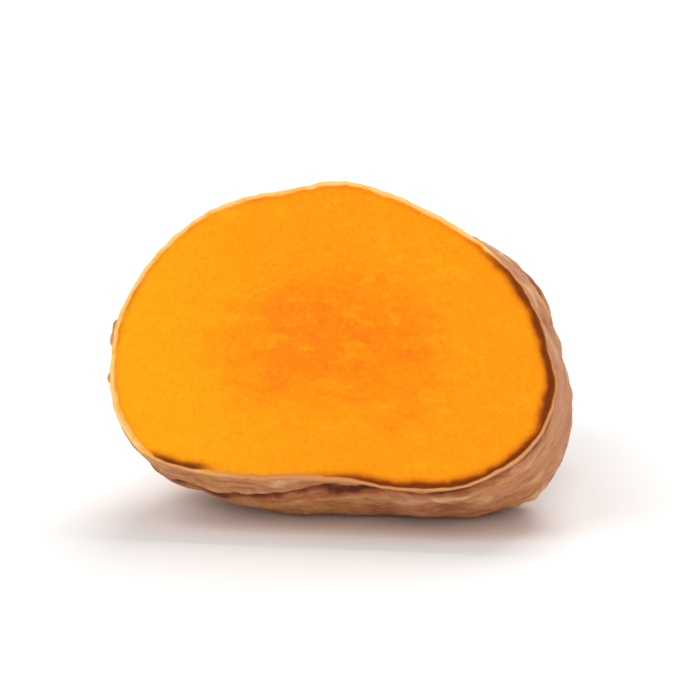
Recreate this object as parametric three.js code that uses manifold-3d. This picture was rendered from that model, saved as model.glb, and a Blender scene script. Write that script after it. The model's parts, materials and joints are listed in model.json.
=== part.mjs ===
// The cut end of a turmeric root: one piece of rhizome with a knife cut at the front, leaning back,
// and the grown, ringed and knobbly root behind it, lying on its underside.
// Millimetres. +Z is up, +X runs across the cut and +Y runs from the cut back to the tip.
// The origin is the middle of the footprint, on the surface that the root lies on.
import * as THREE from "three";
import { mergeVertices } from "three/addons/utils/BufferGeometryUtils.js";
import Module from "manifold-3d";

// Driving dimensions.
const CUT_MIDDLE = new THREE.Vector3(0, -14.18, 14.75); // the middle of the cut face
const CUT_LEAN = THREE.MathUtils.degToRad(26); // how far the cut leans back from upright
const LENGTH = 34.5; // along the middle line, from the cut to the grown tip
const BACK_HALF_WIDTH = 14.4; // the rounder section that the root has behind the cut
const BACK_HALF_HEIGHT = 9.9;
const OVERCUT = 3; // what the knife takes off past the cut

// The middle line leaves the cut square on, levels out, and swings a little to the right at the tip.
const LEVELS_FROM = 0.13; // shares of the length
const LEVELS_OVER = 0.38;
const TIP_RISE = THREE.MathUtils.degToRad(-3);
const TIP_SWING = THREE.MathUtils.degToRad(3.5);

// The section turns from the cut's outline to the rounder one, and tapers to the tip.
const ROUNDS_FROM = 0.15;
const ROUNDS_OVER = 0.45;
const TAPER_START_POWER = 4.6; // a larger number keeps the root thick for longer
const TAPER_END_POWER = 0.52; // half an ellipse would be 0.5

// The cut seen square on, from its middle: across and up the face, anticlockwise from the top.
const CUT_OUTLINE = [
  [0.2, 11.8],
  [-5.3, 10.9],
  [-8.9, 9.9],
  [-13.5, 6.5],
  [-16.2, 2.0],
  [-16.9, -3.0],
  [-16.0, -7.2],
  [-13.4, -9.9],
  [-9.8, -10.9],
  [-3.5, -11.2],
  [3.2, -11.5],
  [7.8, -11.9],
  [12.0, -11.1],
  [15.5, -8.4],
  [16.9, -4.3],
  [15.9, 0.3],
  [13.8, 4.4],
  [10.4, 7.8],
  [5.5, 10.2],
];

// Each ring is the scar of a scale leaf. It lies at a share of the length, slants and waves.
// The first and last lie past the two ends, so that every point has a ring on each side.
const RINGS = [
  { at: -0.15, slant: 0, turn: 0, wave: 0 },
  { at: 0.075, slant: 0.103, turn: 3.14, wave: 0.012 },
  { at: 0.3, slant: 0.035, turn: 0.9, wave: 0.012 },
  { at: 0.47, slant: 0.032, turn: 2.6, wave: 0.012 },
  { at: 0.63, slant: 0.028, turn: 5.2, wave: 0.01 },
  { at: 0.77, slant: 0.022, turn: 3.9, wave: 0.008 },
  { at: 0.88, slant: 0.014, turn: 1.4, wave: 0.005 },
  { at: 0.95, slant: 0.006, turn: 4.6, wave: 0.002 },
  { at: 1.05, slant: 0, turn: 0, wave: 0 },
];
const RING_DEPTH = 0.6; // how far the skin swells between two rings
const SWELL_POWER = 0.5; // a smaller number makes the rings narrower

// Slow waves round and along the root, so that no section is quite like the next.
const LUMPS = [
  { height: 0.45, around: 2, along: 9, phase: 0.4 },
  { height: 0.3, around: 3, along: -14, phase: 1.9 },
  { height: 0.2, around: 5, along: 22, phase: 4.0 },
];
const LUMPS_FROM_CUT = 0.2; // the share of the length in which they reach their full height

// Bell-shaped rises. Angles run round the middle line, from +X over the top.
const BELLIES = [
  { share: 0.22, angle: 4.35, reach: 4.6, height: 1.85 },
  { share: 0.3, angle: 5.7, reach: 3.5, height: 0.4 },
];
// Side buds that never grew out.
const BUDS = [
  { share: 0.46, angle: 2.4, reach: 3.0, height: 1.9 },
  { share: 0.66, angle: 1.7, reach: 2.5, height: 1.2 },
  { share: 0.78, angle: 6.1, reach: 2.2, height: 1.1 },
  { share: 0.72, angle: 3.6, reach: 2.1, height: 1.0 },
];

const AROUND = 72; // faces round the root
const ALONG = 46; // faces from the cut to the tip
const SPINE_STEPS = 400;
const OUTLINE_STEPS = 20; // from each point of the cut's outline to the next
const WELD = 1e-4; // points closer than this are one point
const RELIEF_TO_AXIS = 0.35; // relief fades out where the taper is less than this

const smooth = (value) => THREE.MathUtils.smoothstep(value, 0, 1);
const turnBetween = (a, b) => Math.atan2(Math.sin(a - b), Math.cos(a - b));

// Which way the root grows at a share of its length.
function headingAt(share) {
  const levelled = smooth((share - LEVELS_FROM) / LEVELS_OVER);
  const rise = THREE.MathUtils.lerp(-CUT_LEAN, TIP_RISE * share, levelled);
  const swing = TIP_SWING * levelled;
  return new THREE.Vector3(
    Math.cos(rise) * Math.sin(swing),
    Math.cos(rise) * Math.cos(swing),
    Math.sin(rise),
  );
}

// The middle line, walked in short steps from the middle of the cut.
function walkSpine() {
  const points = [CUT_MIDDLE.clone()];
  for (let i = 0; i < SPINE_STEPS; i += 1) {
    const step = headingAt((i + 0.5) / SPINE_STEPS).multiplyScalar(LENGTH / SPINE_STEPS);
    points.push(points[i].clone().add(step));
  }
  return (share) => {
    const place = share * SPINE_STEPS;
    const before = Math.min(Math.floor(place), SPINE_STEPS - 1);
    return points[before].clone().lerp(points[before + 1], place - before);
  };
}

// The cut's outline as a radius for each angle about the middle.
function cutRadiusByAngle() {
  const corners = CUT_OUTLINE.map(([x, y]) => new THREE.Vector3(x, y, 0));
  const samples = new THREE.CatmullRomCurve3(corners, true)
    .getPoints(OUTLINE_STEPS * corners.length)
    .slice(1)
    .map((p) => ({ angle: Math.atan2(p.y, p.x), radius: Math.hypot(p.x, p.y) }))
    .sort((a, b) => a.angle - b.angle);
  return (angle) => {
    const turned = turnBetween(angle, 0);
    const found = Math.max(samples.findIndex((sample) => sample.angle >= turned), 0);
    const after = samples[found];
    const before = samples.at(found - 1);
    const part = turnBetween(turned, before.angle) / turnBetween(after.angle, before.angle);
    return THREE.MathUtils.lerp(before.radius, after.radius, part);
  };
}

const backRadius = (angle) =>
  1 / Math.hypot(Math.cos(angle) / BACK_HALF_WIDTH, Math.sin(angle) / BACK_HALF_HEIGHT);

const taper = (share) => (1 - share ** TAPER_START_POWER) ** TAPER_END_POWER;

// Where a ring lies at one angle, as a share of the length.
const ringPlace = (ring, angle) =>
  ring.at + ring.slant * Math.cos(angle - ring.turn) + ring.wave * Math.cos(3 * angle + ring.turn);

// The skin dips at each ring and swells between them.
function swell(share, angle) {
  const places = RINGS.map((ring) => ringPlace(ring, angle));
  const next = places.findIndex((place) => place > share);
  const part = (share - places[next - 1]) / (places[next] - places[next - 1]);
  return RING_DEPTH * (Math.sin(Math.PI * part) ** SWELL_POWER - 1);
}

function lumps(share, angle) {
  const wave = (lump) =>
    lump.height * Math.sin(lump.around * angle + lump.along * share + lump.phase);
  return smooth(share / LUMPS_FROM_CUT) * LUMPS.reduce((sum, lump) => sum + wave(lump), 0);
}

function rises(share, angle) {
  return [...BELLIES, ...BUDS].reduce((sum, rise) => {
    const along = (share - rise.share) * LENGTH;
    const around = turnBetween(angle, rise.angle) * BACK_HALF_HEIGHT;
    return sum + rise.height * Math.exp(-((along ** 2 + around ** 2) / rise.reach ** 2));
  }, 0);
}

// The whole root with the overcut: a lathed blank, whose every point is moved to the grown shape.
function rootBlank() {
  const spineAt = walkSpine();
  const cutRadius = cutRadiusByAngle();
  const profile = [new THREE.Vector2(0, -OVERCUT), new THREE.Vector2(1, -OVERCUT)];
  for (let i = 0; i < ALONG; i += 1) {
    const share = Math.sin((i / ALONG) * (Math.PI / 2));
    profile.push(new THREE.Vector2(taper(share), share));
  }
  profile.push(new THREE.Vector2(0, 1));
  const geometry = new THREE.LatheGeometry(profile, AROUND);
  const position = geometry.getAttribute("position");
  for (let i = 0; i < position.count; i += 1) {
    const thickness = Math.hypot(position.getX(i), position.getZ(i));
    const angle = Math.atan2(position.getZ(i), position.getX(i));
    const share = Math.max(position.getY(i), 0);
    const heading = headingAt(share);
    const across = heading.clone().cross(new THREE.Vector3(0, 0, 1)).normalize();
    const up = across.clone().cross(heading);
    const rounded = smooth((share - ROUNDS_FROM) / ROUNDS_OVER);
    const plain = THREE.MathUtils.lerp(cutRadius(angle), backRadius(angle), rounded);
    const relief = swell(share, angle) + lumps(share, angle) + rises(share, angle);
    const radius = thickness * plain + relief * smooth(thickness / RELIEF_TO_AXIS);
    const place = spineAt(share);
    place.addScaledVector(heading, Math.min(position.getY(i), 0));
    place.addScaledVector(across, radius * Math.cos(angle));
    place.addScaledVector(up, radius * Math.sin(angle));
    position.setXYZ(i, place.x, place.y, place.z);
  }
  return geometry;
}

// A block with its top face at z = 0, larger than the whole root.
function block() {
  const side = 120;
  return new THREE.BoxGeometry(side, side, side).translate(0, 0, -side / 2);
}

// The knife's side of the cut: everything in front of the cut face.
function knifeSide() {
  return block()
    .rotateX(-Math.PI / 2 - CUT_LEAN)
    .translate(CUT_MIDDLE.x, CUT_MIDDLE.y, CUT_MIDDLE.z);
}

const wasm = await Module();
wasm.setup();

function solidOf(geometry) {
  geometry.deleteAttribute("normal");
  geometry.deleteAttribute("uv");
  const merged = mergeVertices(geometry, WELD);
  return new wasm.Manifold(
    new wasm.Mesh({
      numProp: 3,
      vertProperties: merged.getAttribute("position").array,
      triVerts: new Uint32Array(merged.index.array),
    }),
  );
}

function geometryOf(solid) {
  const mesh = solid.getMesh();
  const geometry = new THREE.BufferGeometry();
  geometry.setAttribute("position", new THREE.BufferAttribute(mesh.vertProperties, 3));
  geometry.setIndex(new THREE.BufferAttribute(mesh.triVerts, 1));
  geometry.computeVertexNormals();
  return geometry;
}

// The root is cut by the knife, and flat where its weight rests on the surface.
function turmericRoot() {
  const solid = solidOf(rootBlank()).subtract(solidOf(knifeSide())).subtract(solidOf(block()));
  const skin = new THREE.MeshStandardMaterial({ color: 0xc98f63, roughness: 0.72, metalness: 0 });
  const root = new THREE.Mesh(geometryOf(solid), skin);
  root.name = "turmeric_root";
  return root;
}

const part = new THREE.Group();
part.add(turmericRoot());

export default part;
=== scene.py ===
# %% [markdown]
# # The cut end of a turmeric root
#
# Turmeric is a rhizome, an underground stem. It grows in short lengths, and between each two a scale
# leaf leaves a brown scar right round it, so the skin is ringed. A knife opens it to flesh that is
# bright orange all through, with only a thin pale rim under the skin.
#
# This lesson makes the cut end of one such root, about the size of a walnut. The CAD model comes
# first, as a fixed frame. It says where everything is, and every new piece is made in its place.

# %% Load the frame
import json
import math

import bpy
import numpy as np
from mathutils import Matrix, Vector


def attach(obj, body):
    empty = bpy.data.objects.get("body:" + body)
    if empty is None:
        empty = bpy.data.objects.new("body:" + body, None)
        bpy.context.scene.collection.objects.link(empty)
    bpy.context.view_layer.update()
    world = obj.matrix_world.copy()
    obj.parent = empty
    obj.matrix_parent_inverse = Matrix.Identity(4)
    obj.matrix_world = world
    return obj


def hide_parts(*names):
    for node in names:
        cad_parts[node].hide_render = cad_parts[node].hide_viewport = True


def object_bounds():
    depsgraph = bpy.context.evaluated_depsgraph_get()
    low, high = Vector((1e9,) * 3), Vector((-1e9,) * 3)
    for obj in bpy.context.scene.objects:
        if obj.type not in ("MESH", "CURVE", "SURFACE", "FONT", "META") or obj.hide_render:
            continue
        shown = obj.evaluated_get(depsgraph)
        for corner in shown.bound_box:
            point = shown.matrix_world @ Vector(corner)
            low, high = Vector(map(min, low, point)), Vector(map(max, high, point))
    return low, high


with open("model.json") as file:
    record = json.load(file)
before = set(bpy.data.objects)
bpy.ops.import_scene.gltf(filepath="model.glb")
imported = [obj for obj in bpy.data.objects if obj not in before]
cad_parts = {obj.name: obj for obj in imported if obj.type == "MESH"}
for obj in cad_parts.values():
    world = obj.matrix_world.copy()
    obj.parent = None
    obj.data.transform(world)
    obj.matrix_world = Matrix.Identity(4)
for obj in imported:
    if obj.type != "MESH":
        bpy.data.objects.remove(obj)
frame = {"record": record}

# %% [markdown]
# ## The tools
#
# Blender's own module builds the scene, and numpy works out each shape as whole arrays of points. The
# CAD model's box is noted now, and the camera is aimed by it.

scene = bpy.context.scene
cad_box = [list(corner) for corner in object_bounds()]
print("CAD box in metres:", cad_box)

# %% [markdown]
# ## Where the cut is
#
# The frame's record has a mount on the cut face, with a point in its middle and the direction that it
# faces. Both are read from there, so the visible cut lies exactly in the CAD model's cut. A root is
# small, so its shape is worked out in millimetres and goes into Blender in metres at the very end.

# %% Find the cut
MM = 0.001
cut_mount = next(m for m in frame["record"]["mounts"] if m["name"] == "cut_face")
CUT_MIDDLE = np.array(cut_mount["pos_m"]) / MM
CUT_OUTWARD = np.array(cut_mount["axis"])
CUT_LEAN = math.asin(CUT_OUTWARD[2])
print("the cut leans back", round(math.degrees(CUT_LEAN)), "degrees")

# %% [markdown]
# ## The middle line
#
# A root could be sculpted by eye, but here it is a tube of changing section carried along a middle
# line, because then every later mark can be placed by two numbers: its share of the length, from 0 at
# the cut to 1 at the tip, and its angle round the middle line. The line leaves the cut square on,
# soon levels out, and swings a little to the right.

# %% The middle line
LENGTH = 34.5  # along the middle line, from the cut to the grown tip
LEVELS_FROM = 0.13  # shares of the length
LEVELS_OVER = 0.38
TIP_RISE = math.radians(-3)
TIP_SWING = math.radians(3.5)
LINE_STEPS = 400


def smooth(value):
    """An easy step from 0 to 1: three times the square less twice the cube, held at both ends."""
    held = np.clip(value, 0, 1)
    return held * held * (3 - 2 * held)


def heading_at(share):
    """The way the root grows: the cut's inward direction, turned towards level as the share grows."""
    levelled = smooth((share - LEVELS_FROM) / LEVELS_OVER)
    rise = -CUT_LEAN * (1 - levelled) + TIP_RISE * share * levelled
    swing = TIP_SWING * levelled
    parts = [np.cos(rise) * np.sin(swing), np.cos(rise) * np.cos(swing), np.sin(rise)]
    return np.stack(parts, axis=-1)


def middle_at(share):
    """The middle line: short steps along the headings, added up from the middle of the cut."""
    step_middles = (np.arange(LINE_STEPS) + 0.5) / LINE_STEPS
    steps = heading_at(step_middles) * (LENGTH / LINE_STEPS)
    line = CUT_MIDDLE + np.vstack([np.zeros(3), np.cumsum(steps, axis=0)])
    known = np.linspace(0, 1, LINE_STEPS + 1)
    return np.stack([np.interp(share, known, line[:, axis]) for axis in range(3)], axis=-1)


print("the middle line ends at", middle_at(np.array(1.0)).round(1), "mm")

# %% [markdown]
# ## The section
#
# Next to the cut the section is the cut's own outline, broad and a little flat underneath. Further
# back it turns into a rounder one, and then tapers to a blunt tip. A smooth curve through a few
# points gives the outline as a radius for each angle.

# %% The section
CUT_OUTLINE = np.array([  # across and up the face from its middle, anticlockwise from the top
    (0.2, 11.8), (-5.3, 10.9), (-8.9, 9.9), (-13.5, 6.5), (-16.2, 2.0), (-16.9, -3.0), (-16.0, -7.2),
    (-13.4, -9.9), (-9.8, -10.9), (-3.5, -11.2), (3.2, -11.5), (7.8, -11.9), (12.0, -11.1),
    (15.5, -8.4), (16.9, -4.3), (15.9, 0.3), (13.8, 4.4), (10.4, 7.8), (5.5, 10.2),
])
BACK_HALF_WIDTH = 14.4
BACK_HALF_HEIGHT = 9.9
ROUNDS_FROM = 0.15
ROUNDS_OVER = 0.45
TAPER_START_POWER = 4.6  # a larger number keeps the root thick for longer
TAPER_END_POWER = 0.52  # half an ellipse would be 0.5


def cut_radius(angle):
    """The outline by angle: between each two points a cubic curve, whose slope at a point follows
    the points on both sides of it."""
    order = np.argsort(np.arctan2(CUT_OUTLINE[:, 1], CUT_OUTLINE[:, 0]))
    x, y = CUT_OUTLINE[order].T
    turn = np.arctan2(y, x)
    known_angle = np.concatenate([turn - 2 * np.pi, turn, turn + 2 * np.pi])
    known_radius = np.tile(np.hypot(x, y), 3)
    slope = np.gradient(known_radius, known_angle)
    turned = np.arctan2(np.sin(angle), np.cos(angle))
    i = np.searchsorted(known_angle, turned) - 1
    gap = known_angle[i + 1] - known_angle[i]
    part = (turned - known_angle[i]) / gap
    rise = smooth(part)
    bend = part * (1 - part) * gap * (slope[i] * (1 - part) - slope[i + 1] * part)
    return known_radius[i] * (1 - rise) + known_radius[i + 1] * rise + bend


def back_radius(angle):
    """The rounder section behind the cut: an ellipse's radius by angle."""
    return 1 / np.hypot(np.cos(angle) / BACK_HALF_WIDTH, np.sin(angle) / BACK_HALF_HEIGHT)


def taper(share):
    """How thick the root is, from 1 at the cut to 0 at the tip: a blunt half of a stretched circle."""
    return (1 - np.clip(share, 0, 1) ** TAPER_START_POWER) ** TAPER_END_POWER


quarter_turns = np.linspace(0, 2 * np.pi, 4, endpoint=False)
print("cut radii right, top, left and bottom:", cut_radius(quarter_turns).round(1), "mm")

# %% [markdown]
# ## Soft random heights
#
# Nothing that grew is quite even. A noise texture could push the surface about, but a sum of sine
# waves in random directions also gives a smooth random height for any point in space. It has no seam
# where the surface closes on itself, it is one array sum, and the same seed gives the same root on
# every run.

# %% Waves
WAVE_COUNT = 24
WAVE_LENGTHS = (0.7, 1.5)  # the shortest and the longest, as shares of the size asked for


def waves(points, size, seed):
    """A smooth random height, mostly between -1 and 1: the sum of sine waves that run in random
    directions, with random starts and lengths near the given size."""
    rng = np.random.default_rng(seed)
    direction = rng.normal(size=(WAVE_COUNT, 3))
    direction /= np.linalg.norm(direction, axis=1, keepdims=True)
    length = size * rng.uniform(*WAVE_LENGTHS, WAVE_COUNT)
    start = rng.uniform(0, 2 * np.pi, WAVE_COUNT)
    phase = points @ (2 * np.pi * direction / length[:, None]).T + start
    return np.sin(phase).sum(axis=-1) / math.sqrt(WAVE_COUNT)


def layered(points, layers):
    """Waves of several sizes, each times its own height, added up."""
    return sum(height * waves(points, size, seed) for height, size, seed in layers)


sample = np.random.default_rng(1).uniform(0, 50, (2000, 3))
print("the waves reach", waves(sample, 3, 2).max().round(2))

# %% [markdown]
# ## Rings, lumps and buds
#
# These are the large forms, the same as in the CAD model. The skin swells between each two rings and
# dips at them. Each ring slants and waves, so no two are alike. Slow lumps, two low bellies and a few
# side buds that never grew out do the rest. All of it is formulas and no sculpting, so that the two
# models agree.

# %% The large relief
# The first and last ring lie past the two ends, so that every point has a ring on each side.
RINGS = np.array([  # share of the length, slant, the angle it slants to, and wave
    (-0.15, 0.0, 0.0, 0.0),
    (0.075, 0.103, 3.14, 0.012),
    (0.3, 0.035, 0.9, 0.012),
    (0.47, 0.032, 2.6, 0.012),
    (0.63, 0.028, 5.2, 0.01),
    (0.77, 0.022, 3.9, 0.008),
    (0.88, 0.014, 1.4, 0.005),
    (0.95, 0.006, 4.6, 0.002),
    (1.05, 0.0, 0.0, 0.0),
])
RING_DEPTH = 0.6
SWELL_POWER = 0.5  # a smaller number makes the rings narrower
LUMPS = [(0.45, 2, 9, 0.4), (0.3, 3, -14, 1.9), (0.2, 5, 22, 4.0)]  # height, around, along, phase
LUMPS_FROM_CUT = 0.2  # the share of the length in which they reach their full height
RISES = [  # share of the length, angle, reach and height
    (0.22, 4.35, 4.6, 1.85),
    (0.3, 5.7, 3.5, 0.4),
    (0.46, 2.4, 3.0, 1.9),
    (0.66, 1.7, 2.5, 1.2),
    (0.78, 6.1, 2.2, 1.1),
    (0.72, 3.6, 2.1, 1.0),
]


def turn_between(a, b):
    """The angle from b to a the short way round."""
    return np.arctan2(np.sin(a - b), np.cos(a - b))


def ring_places(angle):
    """Each ring's share of the length by angle: its own place, plus its slant as one wave round, plus
    three small waves round."""
    at, slant, turn, wave = RINGS.T[..., None, None]
    return at + slant * np.cos(angle - turn) + wave * np.cos(3 * angle + turn)


def swell(share, angle):
    """Half a sine wave between each two rings, raised to a power below 1 so that the rings are narrow."""
    places = ring_places(angle)
    height = np.zeros(np.broadcast(share, angle).shape)
    for before, after in zip(places[:-1], places[1:]):
        part = np.clip((share - before) / (after - before), 0, 1)
        height += np.sin(np.pi * part) ** SWELL_POWER
    return RING_DEPTH * (height - 1)


def lumps(share, angle):
    """Slow sine waves that wind round the root, from nothing at the cut."""
    wound = [
        high * np.sin(around * angle + along * share + phase) for high, around, along, phase in LUMPS
    ]
    return smooth(share / LUMPS_FROM_CUT) * sum(wound)


def rises(share, angle):
    """Bell-shaped rises: bellies under the root, and side buds."""
    total = 0
    for at, turn, reach, high in RISES:
        along = (share - at) * LENGTH
        around = turn_between(angle, turn) * BACK_HALF_HEIGHT
        total = total + high * np.exp(-(along**2 + around**2) / reach**2)
    return total


print("the skin dips", RING_DEPTH, "mm at each of", len(RINGS) - 2, "rings")

# %% [markdown]
# ## The grown surface
#
# Everything so far comes together in one function of two numbers, the share of the length and the
# angle round. A second function says how far over the skin a share lies from the cut. The marks on
# the skin are spaced by that distance, because near the blunt tip a small share is a long way.

# %% The surface
RELIEF_TO_AXIS = 0.35  # the relief fades out where the taper is less than this
RUN_STEPS = 4000

run_shares = 1 - (1 - np.linspace(0, 1, RUN_STEPS)) ** 2  # closest together at the tip
steps_along = np.diff(run_shares) * LENGTH
steps_across = np.diff(taper(run_shares)) * BACK_HALF_HEIGHT
runs = np.concatenate([[0], np.cumsum(np.hypot(steps_along, steps_across))])


def run_at(share):
    """How far over the skin a share of the length lies from the cut: short straight steps, added up."""
    return np.where(share < 0, share * LENGTH, np.interp(share, run_shares, runs))


def surface(share, angle):
    """A point of the middle line, plus a radius across and up from it. The radius is the section
    times the taper, plus the large relief, which fades out where the root is thin."""
    heading = heading_at(share)
    across = np.cross(heading, (0, 0, 1))
    across /= np.linalg.norm(across, axis=-1, keepdims=True)
    up = np.cross(across, heading)
    thick = taper(share)
    rounded = smooth((share - ROUNDS_FROM) / ROUNDS_OVER)
    plain = cut_radius(angle) * (1 - rounded) + back_radius(angle) * rounded
    relief = swell(share, angle) + lumps(share, angle) + rises(share, angle)
    radius = thick * plain + relief * smooth(thick / RELIEF_TO_AXIS)
    out = across * np.cos(angle)[..., None] + up * np.sin(angle)[..., None]
    return middle_at(share) + radius[..., None] * out


print("over the skin it is", runs[-1].round(1), "mm from the cut to the tip")

# %% [markdown]
# ## One grid over the whole root
#
# The visible root is one closed skin of points: rows of 400, from the middle of the cut face out to
# its edge, over the edge, and along the grown skin to the tip. Flesh and skin could be two pieces, but
# one grid has no seam between them, so the knife's edge stays crisp and nothing can gape. The rows
# crowd together near the edge, because the finest detail is there.

# %% The grid
AROUND = 400
FACE_ROWS = 46
RIM_ROWS = 14
SKIN_ROWS = 182
CROWDING = 0.3  # 0 spaces the skin's rows evenly, and 1 crowds them most at the edge


def skin_shares():
    """Shares of the length for the skin's rows, spaced by the distance over the skin."""
    row = np.linspace(0, 1, SKIN_ROWS + 2)[1:-1]
    crowded = row * (1 - CROWDING) + CROWDING * row**2
    return np.interp(crowded * runs[-1], runs, run_shares)


angle = (np.arange(AROUND) + 0.5) * (2 * np.pi / AROUND)
shares = skin_shares()[:, None]
edge = surface(np.zeros((1, 1)), angle[None])
skin = surface(shares, angle[None])
print("grid:", FACE_ROWS + RIM_ROWS + SKIN_ROWS, "rows of", AROUND, "points")

# %% [markdown]
# ## Where the ring scars run
#
# Up close, a ring is a narrow groove with a ragged lip, where the scale leaf tore off. A darker line, a
# rusty stain and a crest with a painted highlight run beside it. All of them need the same two things
# at each point: how far it is from each ring, and how strong that ring is there. Between the full
# rings are half rings, which die out part of the way round.

# %% Ring marks
HALF_RINGS = [  # share of the length, slant, the angle it slants to, and its middle and reach as angles
    (0.2, 0.06, 1.2, 2.2, 0.8),
    (0.37, -0.05, 0.8, 0.3, 0.7),
    (0.4, 0.05, 4.0, 4.2, 0.7),
    (0.55, 0.05, 2.0, 1.6, 0.6),
    (0.58, -0.04, 5.0, 5.6, 0.7),
    (0.7, 0.04, 3.0, 2.9, 0.6),
]
HALF_RING_STRENGTH = 0.9
RING_STRENGTH = 0.8
RING_VARIES = 0.3  # how much the strength rises and falls
RING_VARIES_OVER = 7  # millimetres
RING_SEED = 20
STRONGEST = 1.2  # the most that a ring's strength, or what is left of its lip, can be
RAGGED = [(0.42, 4.0, 11), (0.13, 1.3, 12)]  # height, size and seed of each layer of waves


def ring_marks(share, angle, points):
    """For each ring and half ring: every point's distance over the skin from it, made ragged by waves
    and negative on the cut's side, and how strong the ring is there."""
    places = list(ring_places(angle)[1:-1])
    strengths = [
        RING_STRENGTH + RING_VARIES * waves(points, RING_VARIES_OVER, RING_SEED + number)
        for number in range(len(places))
    ]
    for at, slant, turn, middle, reach in HALF_RINGS:
        places.append(at + slant * np.cos(angle - turn))
        bell = np.exp(-((turn_between(angle, middle) / reach) ** 4))
        strengths.append(np.broadcast_to(HALF_RING_STRENGTH * bell, points.shape[:2]))
    distances = np.stack([run_at(share) - run_at(place) for place in places])
    return distances + layered(points, RAGGED), np.clip(np.stack(strengths), 0, STRONGEST)


def beside_rings(away, half_width):
    """A band beside each ring: a bell curve about a distance from it, times the ring's strength. Where
    bands meet, the strongest counts."""
    bell = np.exp(-(((ring_distance - away) / half_width) ** 2))
    return (ring_strength * bell).max(axis=0)


ring_distance, ring_strength = ring_marks(shares, angle[None], skin)
print("rings and half rings:", len(ring_distance))

# %% [markdown]
# ## Grooves, lips and stains
#
# The groove and the lip could be bumps in the material only, but a real groove throws a real shadow
# and shows in the outline, so all that is wider than about half a millimetre is moved in the mesh. The
# dark line, the stain and the painted highlight on the crest are colours, and they are bands of the
# same kind, so they always lie where the groove does.

# %% Bands beside the rings
# How far each band's middle lies from its ring, towards the tip, and half of the band's width.
GROOVE_BAND = (0, 0.3)
LIP_BAND = (-0.65, 0.4)
DARK_BAND = (0.25, 0.52)
STAIN_BAND = (0.6, 1.1)
CREST_HIGHLIGHT_BAND = (2.0, 0.7)
LIP_LEFT = 0.5  # of 1, on average
TORN = [(0.6, 2.6, 41)]

groove = beside_rings(*GROOVE_BAND)
dark = beside_rings(*DARK_BAND)
stain = beside_rings(*STAIN_BAND)
# Painted highlight: a pale band on the swell past each ring.
crest_highlight = beside_rings(*CREST_HIGHLIGHT_BAND) * np.clip(1 - stain, 0, 1)
lip_left = np.clip(LIP_LEFT + layered(skin, TORN), 0, STRONGEST)
lip = lip_left * beside_rings(*LIP_BAND) * np.clip(1 - groove, 0, 1)
print("part of the skin in a groove:", (groove > 0.5).mean().round(3))

# %% [markdown]
# ## Wrinkles
#
# The skin shrinks a little as it dries, in fine folds that run round the root as the rings do. A
# stretched noise could stand in for them, but it wouldn't bend where a ring bends. Each fold is
# therefore a wave of the distance from its ring.

# %% Wrinkles
WRINKLE_HEIGHT = 0.13
WRINKLE_LENGTH = 1.05  # from one fine fold to the next
WRINKLES_FROM = 0.9  # from a ring, its wrinkles reach their full height at this distance
WRINKLES_REACH = 3.2  # and fade out over this one
WRINKLED = 0.55  # of 1, on average
WRINKLE_PATCHES = [(0.8, 6, 32)]


def wrinkles(points):
    """Fine folds that follow each ring: a cosine wave of the distance from it, which fades right
    beside the ring and far from it, averaged over the rings and patchy."""
    patchy = np.clip(WRINKLED + layered(points, WRINKLE_PATCHES), 0, 1)
    fading = np.exp(-((ring_distance / WRINKLES_REACH) ** 2))
    near = ring_strength * fading * smooth(np.abs(ring_distance) / WRINKLES_FROM)
    folded = (near * np.cos(2 * np.pi * ring_distance / WRINKLE_LENGTH)).sum(axis=0)
    return WRINKLE_HEIGHT * patchy * folded / np.maximum(near.sum(axis=0), 1)


folds = wrinkles(skin)
print("wrinkles reach", folds.max().round(2), "mm")

# %% [markdown]
# ## Root scars and nubs
#
# Thin roots grew out of the skin, and each left a small round scar with a dimple in it. The knife
# also left a few tiny flaps of skin standing at the left of the cut. Both could be pieces of their
# own, but they grew from the same skin, so each is a small rise added to its height.

# %% Root scars and nubs
ROOT_SCARS = 15
SCAR_SEED = 7
SCAR_SIZES = (0.35, 0.7)  # the smallest and the largest
SCAR_RIM = 0.2  # its height, as a share of the scar's size, as are the next three
SCAR_DIMPLE = 0.25
SCAR_REACH = 0.8
SCAR_SOFTNESS = 0.5
NUBS = [  # share of the length, angle, reach and height
    (0.014, 3.13, 0.45, 0.42),
    (0.01, 3.19, 0.5, 0.34),
    (0.012, 3.37, 0.35, 0.3),
]


def root_scar_marks(points):
    """The small round scars of thin roots: for each point the height of a raised ring about a scar's
    middle less a dimple inside it, and how deep in a scar the point lies, from 0 to 1."""
    rng = np.random.default_rng(SCAR_SEED)
    first, last = points.shape[0] // 6, points.shape[0] * 9 // 10  # clear of the cut and the tip
    rows = rng.integers(first, last, ROOT_SCARS)
    columns = rng.integers(0, points.shape[1], ROOT_SCARS)
    sizes = rng.uniform(*SCAR_SIZES, ROOT_SCARS)
    height = np.zeros(points.shape[:2])
    inside = np.zeros(points.shape[:2])
    for row, column, size in zip(rows, columns, sizes):
        away = np.linalg.norm(points - points[row, column], axis=-1) / size
        rim = SCAR_RIM * np.exp(-(((away - SCAR_REACH) / SCAR_SOFTNESS) ** 2))
        dimple = SCAR_DIMPLE * np.exp(-((away / SCAR_SOFTNESS) ** 2))
        height += size * (rim - dimple)
        inside = np.maximum(inside, np.exp(-((away / SCAR_REACH) ** 4)))
    return height, inside


def nubs(share, angle):
    """Small flaps of skin that stand up beside the cut: flat-topped bells, each as high as its own
    height and falling with the fourth power of the distance from its middle."""
    total = 0
    for at, turn, reach, high in NUBS:
        along = (share - at) * LENGTH
        around = turn_between(angle, turn) * BACK_HALF_WIDTH
        total = total + high * np.exp(-(((along / reach) ** 2 + (around / reach) ** 2) ** 2))
    return total


scar_height, scar_inside = root_scar_marks(skin)
print("root scars:", ROOT_SCARS, "and nubs:", len(NUBS))

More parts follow.
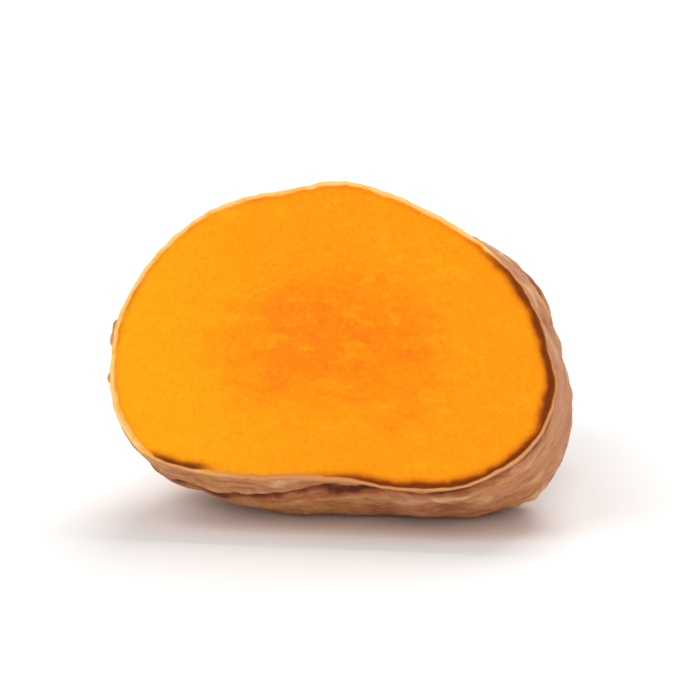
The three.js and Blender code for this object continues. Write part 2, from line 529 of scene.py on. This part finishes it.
# %% [markdown]
# ## Move the skin
#
# All these heights are added up, together with slow and fine unevenness, and each point moves by its
# sum, square to the surface there. A displacement modifier could do the same, but it would move the
# points of the cut face as well. The heights fade to nothing at the cut, where the knife's edge has
# its own line, and at the tip, where all the rows meet.

# %% Move the skin
GROOVE_DEPTH = 0.26
LIP_HEIGHT = 0.16
UNEVEN = [(0.11, 3.6, 51), (0.035, 1.6, 52), (0.015, 0.8, 53)]
TIP_FADE = 1.0  # millimetres from the tip in which the fine relief reaches its full height
EDGE_FADE = 0.8  # and from the cut
NUB_FADE = 0.2


def normals_of(grid):
    """The outward direction at each point of a grid that closes round: its two grid directions,
    crossed."""
    round_way = np.roll(grid, -1, axis=1) - np.roll(grid, 1, axis=1)
    crossed = np.cross(np.gradient(grid, axis=0), round_way)
    return crossed / np.linalg.norm(crossed, axis=-1, keepdims=True)


fine = LIP_HEIGHT * lip - GROOVE_DEPTH * groove + scar_height + layered(skin, UNEVEN) + folds
at_tip = smooth((1 - shares) * LENGTH / TIP_FADE)
from_cut = shares * LENGTH
faded = fine * at_tip * smooth(from_cut / EDGE_FADE)
flaps = nubs(shares, angle[None]) * smooth(from_cut / NUB_FADE)
skin = skin + (faded + flaps)[..., None] * normals_of(skin)
print("fine relief runs from", fine.min().round(2), "to", fine.max().round(2), "mm")

# %% [markdown]
# ## The cut face
#
# A knife leaves a flat face, but not a dead flat one. The pale rim of skin stands a hair proud, with
# a faint groove inside it. The blade leaves long shallow steps, and the cut fibres a fine grain. The
# face could be one flat polygon, but it would look like plastic, so it is a fan of points from its
# middle to the edge, with these heights along the direction that the cut faces.

# %% The face's points
RIM_WIDTH = 1.0  # the stretch of the face beside the edge that has the close rows
EDGE_WAVES = [(0.07, 4.5, 61), (0.03, 1.1, 62)]

from_middle = edge - CUT_MIDDLE
outwards = from_middle / np.linalg.norm(from_middle, axis=-1, keepdims=True)
edge = edge + layered(edge, EDGE_WAVES)[..., None] * outwards
reach = np.linalg.norm(edge - CUT_MIDDLE, axis=-1)
inner = np.linspace(0, 1, FACE_ROWS + 1)[1:, None] * (reach - RIM_WIDTH)
close = reach - RIM_WIDTH + np.linspace(0, 1, RIM_ROWS + 1)[1:, None] * RIM_WIDTH
out = np.concatenate([inner, close])
to_edge = reach - out
face = CUT_MIDDLE + out[..., None] * outwards
print("from the middle to the edge it is", reach.min().round(1), "to", reach.max().round(1), "mm")

# %% The face's height
RIM_HEIGHT = 0.13
RIM_MIDDLE = 0.2  # from the edge
RIM_HALF_WIDTH = 0.13
RIM_GROOVE_DEPTH = 0.07
RIM_GROOVE_MIDDLE = 0.48  # from the edge
RIM_GROOVE_HALF_WIDTH = 0.12
BLADE_STEP = 0.02
BLADE_PACE = 2.1  # radians of the blade's wave for each millimetre up the face
BLADE_SLANT = 0.06
BLADE_WANDER = [(1.5, 14, 71)]
BLADE_PATCHES = [(1, 9, 72)]
FACE_GRAIN = [(0.02, 1.1, 73), (0.035, 4.5, 74)]
KNIFED_FROM = 0.3  # from the edge, where the blade's marks and the grain start
KNIFED_OVER = 0.5

face_across = np.array((1.0, 0.0, 0.0))
face_up = np.cross(face_across, -CUT_OUTWARD)


def face_height(face, to_edge):
    """How far the face stands out: a bell-shaped rim, less a bell-shaped groove inside it, plus a slow
    sine wave up the face for the blade and waves for the grain, both of which start off the rim."""
    rim = RIM_HEIGHT * np.exp(-(((to_edge - RIM_MIDDLE) / RIM_HALF_WIDTH) ** 2))
    into_groove = (to_edge - RIM_GROOVE_MIDDLE) / RIM_GROOVE_HALF_WIDTH
    rim_groove = RIM_GROOVE_DEPTH * np.exp(-(into_groove**2))
    level = face @ face_up + BLADE_SLANT * (face @ face_across)
    wave = np.sin(BLADE_PACE * level + layered(face, BLADE_WANDER))
    blade = BLADE_STEP * wave * np.clip(layered(face, BLADE_PATCHES), 0, 1)
    knifed = smooth((to_edge - KNIFED_FROM) / KNIFED_OVER)
    return rim - rim_groove + (blade + layered(face, FACE_GRAIN)) * knifed


face = face + face_height(face, to_edge)[..., None] * CUT_OUTWARD
print("the cut face is", np.ptp(face @ face_across).round(1), "mm across")
print("and", np.ptp(face @ face_up).round(1), "mm from its lower to its upper edge")

# %% [markdown]
# ## Settle it on its underside
#
# A root gives a little where it rests. Cutting it off flat would leave a hard outline underneath, so
# each height is eased instead: well above the surface it stays as it is, and near or below it, it
# levels out softly.

# %% Settle
SOFTNESS = 0.25  # millimetres
MIDDLE_HEIGHT = 0.02  # how far the one point in the middle of the face stands out


def settle(points):
    """Heights near the surface are eased: half of the height plus the length of (height, softness)."""
    height = points[..., 2]
    eased = (height + np.hypot(height, SOFTNESS)) / 2
    return np.concatenate([points[..., :2], eased[..., None]], axis=-1)


rows = settle(np.concatenate([face, skin]))
lowest = rows[..., 2].min()
rows[..., 2] -= lowest
face_middle = CUT_MIDDLE + MIDDLE_HEIGHT * CUT_OUTWARD
tip = surface(np.ones((1, 1)), np.zeros((1, 1)))[0, 0]
print("the lowest point was", lowest.round(3), "mm up and is now at 0")

# %% [markdown]
# ## Make the mesh
#
# The points go in row by row, with one point at each pole, the middle of the face and the tip. Every
# face of the mesh is listed with its corners the same way round, so that all of them look outwards.

# %% Mesh
FLESH_ROWS = FACE_ROWS + RIM_ROWS


def closed_faces(row_count):
    """Triangles round the first pole, quads between the rows, and triangles round the last pole."""
    column = np.arange(AROUND)
    beside = (column + 1) % AROUND
    start = 1 + np.arange(row_count - 1)[:, None] * AROUND
    corners = [start + column, start + AROUND + column, start + AROUND + beside, start + beside]
    quads = np.stack(corners, axis=-1).reshape(-1, 4)
    last = 1 + (row_count - 1) * AROUND
    first_fan = np.stack([0 * column, 1 + column, 1 + beside], axis=-1)
    last_fan = np.stack([last + column, 0 * column + last + AROUND, last + beside], axis=-1)
    return first_fan.tolist() + quads.tolist() + last_fan.tolist()


points = np.concatenate([[face_middle], rows.reshape(-1, 3), [tip]]) * MM
root_mesh = bpy.data.meshes.new("turmeric_root_skin")
root_mesh.from_pydata(points, [], closed_faces(FLESH_ROWS + SKIN_ROWS))
is_flesh = np.arange(len(root_mesh.polygons)) < AROUND * FLESH_ROWS
root_mesh.polygons.foreach_set("material_index", is_flesh.astype(np.int32))
root_mesh.shade_smooth()
root_mesh.update()
root = bpy.data.objects.new("turmeric_root_skin", root_mesh)
scene.collection.objects.link(root)
print("the root has", sum(len(p.vertices) - 2 for p in root_mesh.polygons), "triangles")

# %% [markdown]
# ## Numbers for the finishes
#
# The finishes need to know where on the root they are. A colour map could tell them, but it would
# have to be unwrapped and painted. Here the numbers that made the shape are kept on its points, as
# attributes: how far a point of the face is from the knife's edge, how much painted shade it gets
# there, how deep in a ring a point of the skin lies, and so on. One more is a straightened copy of
# each place, in which the root is a plain rod. Fine lines that run round the rod also run round the root.

# %% Attributes
ROD_RADIUS = 14
SHADE_RIGHT = -0.5  # the angle in the middle of the long painted shade line
SHADE_LEFT = -2.38  # and that of the short one
LONG_SHADE_FROM = 0.2  # the cosine of the angle from its middle, where the long painted shade line starts
LONG_SHADE_OVER = 0.7
SHORT_SHADE_REACH = 0.15  # an angle


def on_rod(thick, along):
    """Places on a straight rod: the cosine and sine of the angle times the thickness, and the length."""
    x, y, z = np.broadcast_arrays(thick * np.cos(angle), thick * np.sin(angle), along)
    return np.stack([x, y, z], axis=-1)


def on_points(face_part, skin_part, first=0.0, last=0.0):
    """One number or place for each point of the mesh, in its order: the first pole's, the face's, the
    skin's and the last pole's."""
    size = np.shape(first)
    on_face = np.broadcast_to(face_part, (FLESH_ROWS, AROUND) + size).reshape((-1,) + size)
    on_skin = np.broadcast_to(skin_part, (SKIN_ROWS, AROUND) + size).reshape((-1,) + size)
    return np.concatenate([[first], on_face, on_skin, [last]])


# Painted shade: a brown line along the cut's edge, long from the upper right round to the bottom, and
# short at the lower left.
long_shade = smooth((np.cos(angle - SHADE_RIGHT) - LONG_SHADE_FROM) / LONG_SHADE_OVER)
short_shade = np.exp(-((turn_between(angle, SHADE_LEFT) / SHORT_SHADE_REACH) ** 2))
attributes = {
    "edge_mm": on_points(to_edge, 0.0, first=reach.max()),
    "outward": on_points(out / reach, 1.0),
    "painted_shade": on_points(np.maximum(long_shade, short_shade), 0.0),
    "downward": on_points(-np.sin(angle), 0.0),
    "ring": on_points(0.0, dark),
    "stain": on_points(0.0, stain),
    "crest_highlight": on_points(0.0, crest_highlight),
    "scar": on_points(0.0, scar_inside),
    "lift": on_points(0.0, fine * at_tip),
}
for name, values in attributes.items():
    layer = root_mesh.attributes.new(name, "FLOAT", "POINT")
    layer.data.foreach_set("value", values.astype(np.float32))
rod_face = on_rod(ROD_RADIUS * out / reach, 0.0)
rod_skin = on_rod(ROD_RADIUS * taper(shares), shares * LENGTH)
straight = on_points(rod_face, rod_skin, first=(0, 0, 0), last=(0, 0, LENGTH)) * MM
layer = root_mesh.attributes.new("straight", "FLOAT_VECTOR", "POINT")
layer.data.foreach_set("vector", straight.ravel())
print("kept on the points:", [*attributes, "straight"])

# %% [markdown]
# ## Helpers for the finishes
#
# A finish is a small web of nodes. These helpers add one node each, so that a finish below reads like
# a recipe. Colours are given as the usual screen numbers and turned into the light that they stand
# for, because that is what the shader works with.

# %% Node helpers


def screen(red, green, blue):
    """A screen colour of 0 to 255 as light: each part to the power 2.2 or so, by the screen's own
    rule."""
    part = np.array((red, green, blue)) / 255
    light = np.where(part <= 0.04045, part / 12.92, ((part + 0.055) / 1.055) ** 2.4)
    return (*light.tolist(), 1.0)


def add(tree, kind, inputs=None, **settings):
    """Adds a node. Settings are its own; inputs are values, or other nodes' outputs to join it to."""
    node = tree.nodes.new("ShaderNode" + kind)
    for name, value in settings.items():
        setattr(node, name, value)
    for key, value in (inputs or {}).items():
        if isinstance(value, bpy.types.NodeSocket):
            tree.links.new(value, node.inputs[key])
        else:
            node.inputs[key].default_value = value
    return node


def attribute(tree, name):
    """Reads a number that is kept on the points."""
    return add(tree, "Attribute", attribute_name=name).outputs["Fac"]


def noise(tree, place, size, detail=2.0, roughness=0.5):
    """Cloudy noise from 0 to 1, whose clouds are about so many millimetres across."""
    inputs = {"Vector": place, "Scale": 1 / (size * MM), "Detail": detail, "Roughness": roughness}
    return add(tree, "TexNoise", inputs).outputs["Fac"]


def ease(tree, value, low, high, to_low=0.0, to_high=1.0):
    """Turns the range from low to high into another range, with a soft start and end."""
    inputs = {"Value": value, "From Min": low, "From Max": high, "To Min": to_low, "To Max": to_high}
    return add(tree, "MapRange", inputs, interpolation_type="SMOOTHSTEP").outputs["Result"]


def calc(tree, operation, first, second=0.0):
    """One sum with two numbers, such as ADD or MULTIPLY."""
    return add(tree, "Math", {0: first, 1: second}, operation=operation).outputs["Value"]


def blend(tree, amount, under, over):
    """One colour over another, by an amount from 0 to 1."""
    return add(tree, "Mix", {0: amount, 6: under, 7: over}, data_type="RGBA").outputs[2]


def either_side(tree, value, size=1.0):
    """Noise from 0 to 1 turned into a number on either side of 0, times a size."""
    return calc(tree, "MULTIPLY", calc(tree, "SUBTRACT", value, 0.5), size)


def new_finish(name):
    """A material with its tree and its main shader."""
    material = bpy.data.materials.new(name)
    material.use_nodes = True
    return material, material.node_tree, material.node_tree.nodes["Principled BSDF"]


print("node helpers ready")

# %% [markdown]
# ## The flesh
#
# Turmeric is orange because its cells are full of colour, deeper in the middle than outside. Seen
# close it is not one orange: clouds, pale glints and single cells vary it. An even orange with a
# little noise would do from far away, but here each layer follows its own cause, so it also holds up
# close. The way out from the middle to the edge drives the deep core.

# %% Flesh colours
OUTER_FLESH = screen(250, 150, 2)
# The next orange is painted light: the face is painted a little paler towards its left and lower side.
PAINTED_LIGHT_FLESH = screen(252, 163, 3)
INNER_FLESH = screen(248, 130, 1)
DEEP_FLESH = screen(238, 112, 1)
PALE_FLESH = screen(252, 168, 12)
TOWARDS_PAINTED_LIGHT = (-1, 0, -0.4)  # the face is a little paler towards this side
FLESH_GRAIN = (0.6, 1, 1.3)  # flecks and glints are wider than they are high


def flesh_colour(tree, place, cloud, cells):
    """An outer orange with painted light that makes it paler at one side, a deep core, dark flecks
    mostly in the core, pale glints, and single cells in both shades."""
    # Painted light: the outer orange is painted paler towards one side.
    towards = add(tree, "VectorMath", {0: place, 1: TOWARDS_PAINTED_LIGHT}, operation="DOT_PRODUCT")
    painted_light_side = ease(tree, towards.outputs["Value"], -6 * MM, 12 * MM)
    colour = blend(tree, painted_light_side, OUTER_FLESH, PAINTED_LIGHT_FLESH)
    zone = calc(tree, "ADD", attribute(tree, "outward"), calc(tree, "MULTIPLY", cloud, 0.7))
    colour = blend(tree, ease(tree, zone, 0.5, 1.0, 1, 0), colour, INNER_FLESH)
    grained = add(tree, "Mapping", {"Vector": place, "Scale": FLESH_GRAIN}).outputs["Vector"]
    flecks = ease(tree, noise(tree, grained, 1.0, 6, 0.66), 0.48, 0.68)
    in_core = ease(tree, zone, 0.65, 1.15, 0.55, 0.06)
    colour = blend(tree, calc(tree, "MULTIPLY", flecks, in_core), colour, DEEP_FLESH)
    glints = ease(tree, noise(tree, grained, 1.4, 6, 0.68), 0.5, 0.7, 0, 0.6)
    colour = blend(tree, glints, colour, PALE_FLESH)
    colour = blend(tree, ease(tree, cells, 0.54, 0.68, 0, 0.28), colour, DEEP_FLESH)
    return blend(tree, ease(tree, cells, 0.46, 0.32, 0, 0.4), colour, PALE_FLESH)


print("the deep core as light:", np.round(INNER_FLESH[:3], 3))

# %% [markdown]
# ## The rim and the painted shade
#
# The skin cut across shows as a pale rim, with a thin orange line inside it. Where the skin turns
# under, at the bottom and the right, the rim is painted tan and a brown line is painted into the flesh
# beside it, both as painted shade. All of this follows the distance from the knife's edge, so that
# attribute drives it, and a little noise makes each line wander as a real one does.

# %% Rim colours
RIM_CREAM = screen(250, 200, 120)
# The rim's tan is painted shade, for where the rim faces down and beside the painted shade line.
RIM_SHADE_TAN = screen(208, 142, 88)
RIM_LINE = screen(222, 118, 6)
# The brown line and its redder edge are painted shade along the cut's edge, where the skin turns under.
PAINTED_SHADE_EDGE = screen(196, 92, 4)
PAINTED_SHADE_BROWN = screen(124, 54, 8)
# Millimetres from the knife's edge: full as far as the first number, and gone at the second.
RIM_SHOWS = (0.26, 0.42)
LINE_SHOWS = (0.3, 0.8)
PAINTED_SHADE_SHOWS = (0.35, 0.85)
PAINTED_SHADE_EDGE_SHOWS = (0.4, 1.3)
# Millimetres by which these lines wander, and by which the rim changes its width.
WANDERS = 0.35
PAINTED_SHADE_WANDERS = 1.4
RIM_WIDER_BELOW = 0.14
RIM_NARROWER_AT_SHADE = 0.26


def painted_shade_line(tree, place, colour):
    """Painted shade: a brown line with a redder edge, wherever the painted_shade attribute and some
    noise say so. Returns the colour and how much painted shade each place gets."""
    patchy = either_side(tree, noise(tree, place, 3, 3, 0.5))
    painted_shade = ease(tree, calc(tree, "ADD", attribute(tree, "painted_shade"), patchy), 0.15, 0.85)
    wander = calc(tree, "MULTIPLY", patchy, PAINTED_SHADE_WANDERS)
    from_edge = calc(tree, "ADD", attribute(tree, "edge_mm"), wander)
    redder = calc(tree, "MULTIPLY", painted_shade, ease(tree, from_edge, *PAINTED_SHADE_EDGE_SHOWS, 0.85, 0))
    colour = blend(tree, redder, colour, PAINTED_SHADE_EDGE)
    browner = calc(tree, "MULTIPLY", painted_shade, ease(tree, from_edge, *PAINTED_SHADE_SHOWS, 1, 0))
    return blend(tree, browner, colour, PAINTED_SHADE_BROWN), painted_shade


def rimmed(tree, place, from_edge, painted_shade, colour):
    """The rim over the rest: cream with paler orange patches, and tan as painted shade where it faces
    down or lies beside the painted shade line. It is wider below and narrower beside that line."""
    patches = ease(tree, noise(tree, place, 1.2, 5, 0.6), 0.45, 0.65, 0, 0.6)
    downward = attribute(tree, "downward")
    # Painted shade: the rim turns tan where it faces down and beside the painted shade line.
    rim_shaded_below = ease(tree, downward, 0.6, 0.9)
    rim_shaded = calc(tree, "MAXIMUM", rim_shaded_below, calc(tree, "MULTIPLY", painted_shade, 0.8))
    rim = blend(tree, rim_shaded, blend(tree, patches, RIM_CREAM, PALE_FLESH), RIM_SHADE_TAN)
    widened = ease(tree, downward, 0.1, 0.5, 0, RIM_WIDER_BELOW)
    narrowed = calc(tree, "MULTIPLY", painted_shade, RIM_NARROWER_AT_SHADE)
    depth = calc(tree, "ADD", from_edge, calc(tree, "SUBTRACT", narrowed, widened))
    return blend(tree, ease(tree, depth, *RIM_SHOWS, 1, 0), colour, rim)


print("the rim is about", RIM_SHOWS[0], "mm wide")

# %% [markdown]
# ## The flesh, put together
#
# Fresh flesh is moist, so light goes in a little way and comes out softer and more orange. That is
# what subsurface scattering does. The cells and clouds also make a very fine bump, because a cut
# through cells is never as smooth as glass.

# %% Flesh finish


def flesh_finish():
    """The flesh's colours, the orange line, the painted shade line and the rim, in that order, over a
    fine bump."""
    material, tree, shader = new_finish("turmeric_flesh")
    place = add(tree, "TexCoord").outputs["Object"]
    cloud = noise(tree, place, 5, 4)
    cells = noise(tree, place, 0.3, 4, 0.6)
    colour = flesh_colour(tree, place, cloud, cells)
    wander = either_side(tree, noise(tree, place, 2.5, 5, 0.6), WANDERS)
    from_edge = calc(tree, "ADD", attribute(tree, "edge_mm"), wander)
    line = ease(tree, from_edge, *LINE_SHOWS, 0.75, 0)
    colour = blend(tree, calc(tree, "MULTIPLY", line, ease(tree, cloud, 0.35, 0.6)), colour, RIM_LINE)
    # Painted shade: the brown line beside the edge at the right, the bottom and the lower left.
    colour, painted_shade = painted_shade_line(tree, place, colour)
    colour = rimmed(tree, place, from_edge, painted_shade, colour)
    tree.links.new(colour, shader.inputs["Base Color"])
    grain = calc(tree, "ADD", cells, calc(tree, "MULTIPLY", cloud, 0.5))
    bump = add(tree, "Bump", {"Height": grain, "Strength": 0.6, "Distance": 0.14 * MM})
    tree.links.new(bump.outputs["Normal"], shader.inputs["Normal"])
    tree.links.new(ease(tree, grain, 0.4, 1.1, 0.42, 0.6), shader.inputs["Roughness"])
    shader.inputs["Specular IOR Level"].default_value = 0.08
    shader.inputs["Subsurface Weight"].default_value = 0.15
    shader.inputs["Subsurface Radius"].default_value = (1.0, 0.4, 0.1)
    shader.inputs["Subsurface Scale"].default_value = 1.5 * MM
    return material


flesh = flesh_finish()
print("flesh nodes:", len(flesh.node_tree.nodes))

# %% [markdown]
# ## The skin
#
# The skin is as thin as paper, tan with a pinkish cast, dry and a little silky. It is painted paler
# on what stands out and browner in every fold, as painted highlight and painted shade. Its colour
# could come from noise alone, but then pale and brown would fall anywhere. The height of the fine
# relief was kept on the points, so colour and shape agree everywhere.

# %% Skin colours
TAN = screen(212, 144, 86)
PINK_TAN = screen(210, 138, 94)
YELLOW_TAN = screen(222, 160, 90)
# Pale skin is the real pale specks, and also the painted highlight on raised relief and crests.
PALE_SKIN = screen(246, 206, 154)
# Rust is the real specks, folds, stains and scars, and also painted shade in the dips.
RUST_AND_SHADE = screen(166, 88, 46)


def skin_colour(tree, place, speck, fold, cloud):
    """Clouds of three tans, then specks, fine lines in the folds, a painted highlight on the tops and
    painted shade in the dips.
    """
    colour = blend(tree, ease(tree, noise(tree, place, 6, 3), 0.38, 0.64), TAN, PINK_TAN)
    colour = blend(tree, ease(tree, noise(tree, place, 4, 5), 0.48, 0.7, 0, 0.8), colour, YELLOW_TAN)
    colour = blend(tree, ease(tree, speck, 0.02, 0.2, 0, 0.35), colour, PALE_SKIN)
    colour = blend(tree, ease(tree, speck, -0.02, -0.2, 0, 0.4), colour, RUST_AND_SHADE)
    colour = blend(tree, ease(tree, fold, 0.51, 0.64, 0, 0.6), colour, RUST_AND_SHADE)
    # Painted light: paler on the raised relief as a painted highlight, and browner in its dips as painted
    # shade.
    painted_relief_light = calc(tree, "ADD", attribute(tree, "lift"), calc(tree, "MULTIPLY", cloud, 0.36))
    colour = blend(tree, ease(tree, painted_relief_light, 0.02, 0.28, 0, 0.66), colour, PALE_SKIN)
    return blend(tree, ease(tree, painted_relief_light, -0.04, -0.26, 0, 0.6), colour, RUST_AND_SHADE)


print("the plain tan as light:", np.round(TAN[:3], 3))

# %% [markdown]
# ## The rings' colours
#
# Behind each ring lies a crest, painted pale as a painted highlight, beside it a rusty stain, and in it
# a line that is red at its sides and dark brown in the middle. Each is one of the bands that were kept
# on the points. Used as they are, the bands would have edges that are too even, so noise is added to
# each before it becomes a colour.

# %% Ring colours
RING_BROWN = screen(96, 42, 20)
RING_RED = screen(142, 72, 36)


def ringed_colour(tree, cloud, patch, colour):
    """The painted highlight on the crest, the stain, the red and brown of the ring and the root scars,
    each over the one before.
    """
    # Painted highlight: the crest past each ring is painted pale.
    crest_highlight = calc(tree, "ADD", attribute(tree, "crest_highlight"), calc(tree, "MULTIPLY", cloud, 1.6))
    colour = blend(tree, ease(tree, crest_highlight, 0.5, 1.3, 0, 0.5), colour, PALE_SKIN)
    stain = calc(tree, "ADD", attribute(tree, "stain"), calc(tree, "MULTIPLY", patch, 1.6))
    colour = blend(tree, ease(tree, stain, 0.3, 1.05, 0, 0.8), colour, RUST_AND_SHADE)
    ring = calc(tree, "ADD", attribute(tree, "ring"), calc(tree, "MULTIPLY", patch, 1.3))
    colour = blend(tree, ease(tree, ring, 0.3, 0.6, 0, 0.85), colour, RING_RED)
    colour = blend(tree, ease(tree, ring, 0.6, 0.95, 0, 0.95), colour, RING_BROWN)
    return blend(tree, calc(tree, "MULTIPLY", attribute(tree, "scar"), 0.6), colour, RUST_AND_SHADE)


print("the middle of a ring as light:", np.round(RING_BROWN[:3], 3))

# %% [markdown]
# ## The skin, put together
#
# The finest folds run round the root, beside the rings. A noise on plain coordinates would run the
# same way everywhere, so it reads the straightened copy of each place, squeezed so that its clouds
# become long lines round the rod. The copy is bent by another noise first, so that the lines stray.

# %% Skin finish
STRAY = 3  # millimetres, both how far the lines stray and how long one bend is
ROUND_THE_ROD = (0.22, 0.22, 1)


def bent_rod(tree, place):
    """The straightened place, moved by a coloured noise that is made to go both ways."""
    stray = add(tree, "TexNoise", {"Vector": place, "Scale": 1 / (STRAY * MM), "Detail": 4})
    to_middle = {0: stray.outputs["Color"], 1: (0.5, 0.5, 0.5)}
    centred = add(tree, "VectorMath", to_middle, operation="SUBTRACT")
    moved = add(tree, "VectorMath", {0: centred.outputs[0], "Scale": STRAY * MM}, operation="SCALE")
    rod = add(tree, "Attribute", attribute_name="straight").outputs["Vector"]
    return add(tree, "VectorMath", {0: rod, 1: moved.outputs[0]}, operation="ADD").outputs[0]


def skin_finish():
    """The skin's colours and the rings' colours over them, with a bump of specks and folds."""
    material, tree, shader = new_finish("turmeric_skin")
    place = add(tree, "TexCoord").outputs["Object"]
    bent = bent_rod(tree, place)
    lines = add(tree, "Mapping", {"Vector": bent, "Scale": ROUND_THE_ROD}).outputs["Vector"]
    speck = either_side(tree, noise(tree, place, 0.45, 6, 0.72))
    fold = noise(tree, lines, 0.5, 4, 0.6)
    cloud = either_side(tree, noise(tree, place, 1.6, 7, 0.68))
    patch = either_side(tree, noise(tree, bent, 1.1, 7, 0.7))
    colour = skin_colour(tree, place, speck, fold, cloud)
    colour = ringed_colour(tree, cloud, patch, colour)
    tree.links.new(colour, shader.inputs["Base Color"])
    height = calc(tree, "ADD", calc(tree, "MULTIPLY", speck, 0.9), calc(tree, "MULTIPLY", fold, 0.7))
    bump = add(tree, "Bump", {"Height": height, "Strength": 0.9, "Distance": 0.25 * MM})
    tree.links.new(bump.outputs["Normal"], shader.inputs["Normal"])
    tree.links.new(ease(tree, speck, -0.2, 0.2, 0.48, 0.7), shader.inputs["Roughness"])
    shader.inputs["Specular IOR Level"].default_value = 0.3
    return material


root_mesh.materials.append(skin_finish())
root_mesh.materials.append(flesh)
print("finishes:", [m.name for m in root_mesh.materials])

# %% [markdown]
# ## The table
#
# The piece is shown as in a shop's picture, on a plain pale sweep that curves up behind it. A flat
# floor would end in a line across the background, and the curve leaves none.

# %% Sweep
SWEEP_HALF_WIDTH = 1.2
SWEEP_FRONT = -1.2
SWEEP_BEND_AT = 0.5
SWEEP_BEND_RADIUS = 0.4
SWEEP_TOP = 1.6
PAPER = (0.93, 0.93, 0.93, 1)


def sweep_mesh():
    """A profile carried across: flat, then a quarter circle, then straight up."""
    turn = np.linspace(0, np.pi / 2, 24)
    y = np.concatenate([[SWEEP_FRONT], SWEEP_BEND_AT + SWEEP_BEND_RADIUS * np.sin(turn)])
    z = np.concatenate([[0], SWEEP_BEND_RADIUS * (1 - np.cos(turn))])
    profile = np.column_stack([np.append(y, y[-1]), np.append(z, SWEEP_TOP)])
    count = len(profile)
    left, right = (np.insert(profile, 0, x, axis=1) for x in (-SWEEP_HALF_WIDTH, SWEEP_HALF_WIDTH))
    k = np.arange(count - 1)
    quads = np.stack([k, k + count, k + count + 1, k + 1], axis=-1)
    mesh = bpy.data.meshes.new("sweep")
    mesh.from_pydata(np.vstack([left, right]), [], quads.tolist())
    mesh.shade_smooth()
    return mesh


sweep = bpy.data.objects.new("sweep", sweep_mesh())
scene.collection.objects.link(sweep)
paper, _, paper_shader = new_finish("paper")
paper_shader.inputs["Base Color"].default_value = PAPER
paper_shader.inputs["Roughness"].default_value = 0.9
paper_shader.inputs["Specular IOR Level"].default_value = 0.1
sweep.data.materials.append(paper)
print("the sweep is", 2 * SWEEP_HALF_WIDTH, "m wide")

# %% [markdown]
# ## The lamps
#
# A small lamp would throw a hard shadow. Three broad soft ones, from the left above, from low in
# front and from behind above, give the face its even glow and leave the underside in shade, and a
# white world fills in the rest.

# %% Lamps
LIT_POINT = Vector((0, 0, 0.012))  # near the middle of the root
WORLD_LIGHT = 0.52


def soft_lamp(name, place, size, watts):
    """A square area lamp, aimed at the root."""
    lamp = bpy.data.lights.new(name, "AREA")
    lamp.size = size
    lamp.energy = watts
    holder = bpy.data.objects.new(name, lamp)
    holder.location = place
    holder.rotation_euler = (LIT_POINT - Vector(place)).to_track_quat("-Z", "Y").to_euler()
    scene.collection.objects.link(holder)


soft_lamp("key_lamp", place=(-0.35, -0.45, 0.6), size=0.5, watts=2.3)
soft_lamp("fill_lamp", place=(0.05, -0.6, 0.14), size=0.26, watts=0.72)
soft_lamp("back_lamp", place=(0.1, 0.45, 0.6), size=0.5, watts=3.6)
world = bpy.data.worlds.new("studio")
world.use_nodes = True
world.node_tree.nodes["Background"].inputs["Color"].default_value = (1, 1, 1, 1)
world.node_tree.nodes["Background"].inputs["Strength"].default_value = WORLD_LIGHT
scene.world = world
scene.view_settings.view_transform = "Standard"

# %% [markdown]
# ## The camera
#
# It looks at the cut from a little above and a little to the right. It stands well back with a long
# lens, because a near one would make the cut look larger than it is.

# %% Camera
AZIMUTH = math.radians(9)
ELEVATION = math.radians(12)
DISTANCE = 0.42
SHOWN_WIDTH = 0.053  # of the picture, at the root
SENSOR_WIDTH = 36  # millimetres, as is the lens
AIM_FORWARD = 0.4  # shares of the CAD box
AIM_HEIGHT = 0.48

low, high = (Vector(corner) for corner in cad_box)
aim = Vector((0, low.y * AIM_FORWARD, (low.z + high.z) * AIM_HEIGHT))
back = Vector((
    math.sin(AZIMUTH) * math.cos(ELEVATION),
    -math.cos(AZIMUTH) * math.cos(ELEVATION),
    math.sin(ELEVATION),
))
camera_data = bpy.data.cameras.new("camera")
camera_data.sensor_width = SENSOR_WIDTH
camera_data.lens = SENSOR_WIDTH * DISTANCE / SHOWN_WIDTH
camera = bpy.data.objects.new("camera", camera_data)
camera.location = aim + back * DISTANCE
camera.rotation_euler = (-back).to_track_quat("-Z", "Y").to_euler()
scene.collection.objects.link(camera)
scene.camera = camera
print("lens:", round(camera_data.lens), "mm")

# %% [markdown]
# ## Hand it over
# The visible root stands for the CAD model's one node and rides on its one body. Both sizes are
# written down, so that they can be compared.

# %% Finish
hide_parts("turmeric_root")
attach(root, "root")
